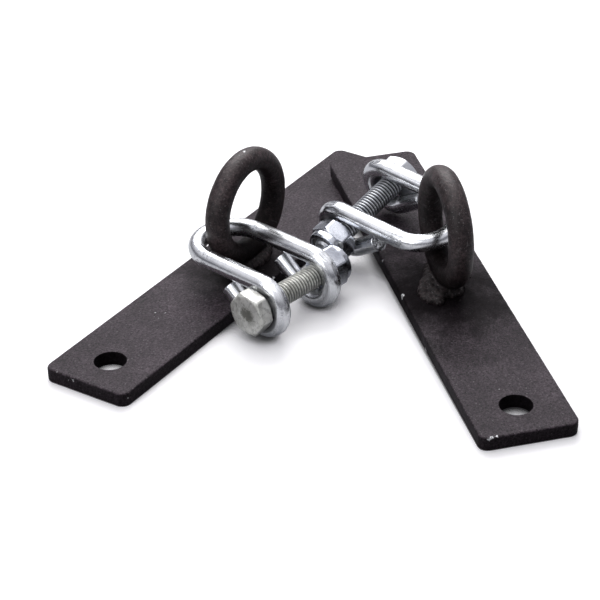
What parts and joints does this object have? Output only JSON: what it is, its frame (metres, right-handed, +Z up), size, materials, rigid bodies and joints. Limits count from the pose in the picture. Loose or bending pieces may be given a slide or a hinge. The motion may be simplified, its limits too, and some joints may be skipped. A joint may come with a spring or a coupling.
{
  "type": "roof anchor",
  "caption": "Bolt-down roof anchors: flat steel bar with a hole near each end, an upright welded ring, and a bent-rod shackle closed by a hex bolt and lock nut.",
  "frame": {"origin": "middle of the underside of base plate A, the plate that lies flat", "axes": "+X along plate A towards the end that plate B rests on, +Y across plate A away from the shackles' bolts, +Z up out of the plate"},
  "size_m": [0.2208, 0.1974, 0.0618],
  "materials": {
    "plate_coat": "black powder coat, fine sand texture, satin, small chips on the edges",
    "ring_coat": "black powder coat, smoother than the plate, satin, light scuffs",
    "weld_coat": "black powder coat over a rough weld bead",
    "rod_zinc": "bright bluish zinc plating on drawn rod",
    "nut_zinc": "bright bluish zinc plating",
    "bolt_a_zinc": "dull zinc plating with a slight yellow cast",
    "bolt_b_zinc": "bright zinc plating",
    "nylon": "dark nylon, matt; its colour is a guess, as it is hidden"
  },
  "bodies": {
    "anchor_a": {"anchor_a_base_plate": "plate_coat", "anchor_a_ring": "ring_coat", "anchor_a_weld_bead": "weld_coat"},
    "anchor_b": {"anchor_b_base_plate": "plate_coat", "anchor_b_ring": "ring_coat", "anchor_b_weld_bead": "weld_coat"},
    "shackle_a": {"shackle_a_bow": "rod_zinc"},
    "shackle_b": {"shackle_b_bow": "rod_zinc"},
    "bolt_a": {"bolt_a_hex_bolt": "bolt_a_zinc"},
    "bolt_b": {"bolt_b_hex_bolt": "bolt_b_zinc"},
    "nut_a": {"nut_a_lock_nut": "nut_zinc", "nut_a_nylon_insert": "nylon"},
    "nut_b": {"nut_b_lock_nut": "nut_zinc", "nut_b_nylon_insert": "nylon"}
  },
  "joints": [
    {"name": "anchor_b_lift", "type": "slide", "parent": "anchor_a", "child": "anchor_b", "axis": [0, 0, 1], "range_m": [0, 0.08]},
    {"name": "shackle_a_swing", "type": "hinge", "parent": "anchor_a", "child": "shackle_a", "pos_m": [-0.01279, 0.00715, 0.02367], "axis": [-0.9866, 0.1632, 0], "range_deg": [0, 55]},
    {"name": "shackle_b_swing", "type": "hinge", "parent": "anchor_b", "child": "shackle_b", "pos_m": [0.03437, -0.08342, 0.02826], "axis": [0.9533, -0.1438, 0.2657], "range_deg": [0, 90]},
    {"name": "nut_a_turn", "type": "hinge", "parent": "shackle_a", "child": "nut_a", "pos_m": [-0.02034, -0.03848, 0.01377], "axis": [0.9866, -0.1632, 0], "range_deg": [0, 2521]},
    {"name": "nut_b_turn", "type": "hinge", "parent": "shackle_b", "child": "nut_b", "pos_m": [0.04302, -0.03732, 0.02218], "axis": [-0.9533, 0.1438, -0.2657], "range_deg": [0, 2521]},
    {"name": "bolt_a_back_out", "type": "slide", "parent": "shackle_a", "child": "bolt_a", "axis": [-0.9866, 0.1632, 0], "range_m": [0, 0.0105]},
    {"name": "bolt_b_back_out", "type": "slide", "parent": "shackle_b", "child": "bolt_b", "axis": [0.9533, -0.1438, 0.2657], "range_m": [0, 0.0105]}
  ],
  "couplings": [
    {"joint": "nut_a_turn", "follows": "bolt_a_back_out", "rad_per_m": 4188.8},
    {"joint": "nut_b_turn", "follows": "bolt_b_back_out", "rad_per_m": 4188.8}
  ]
}
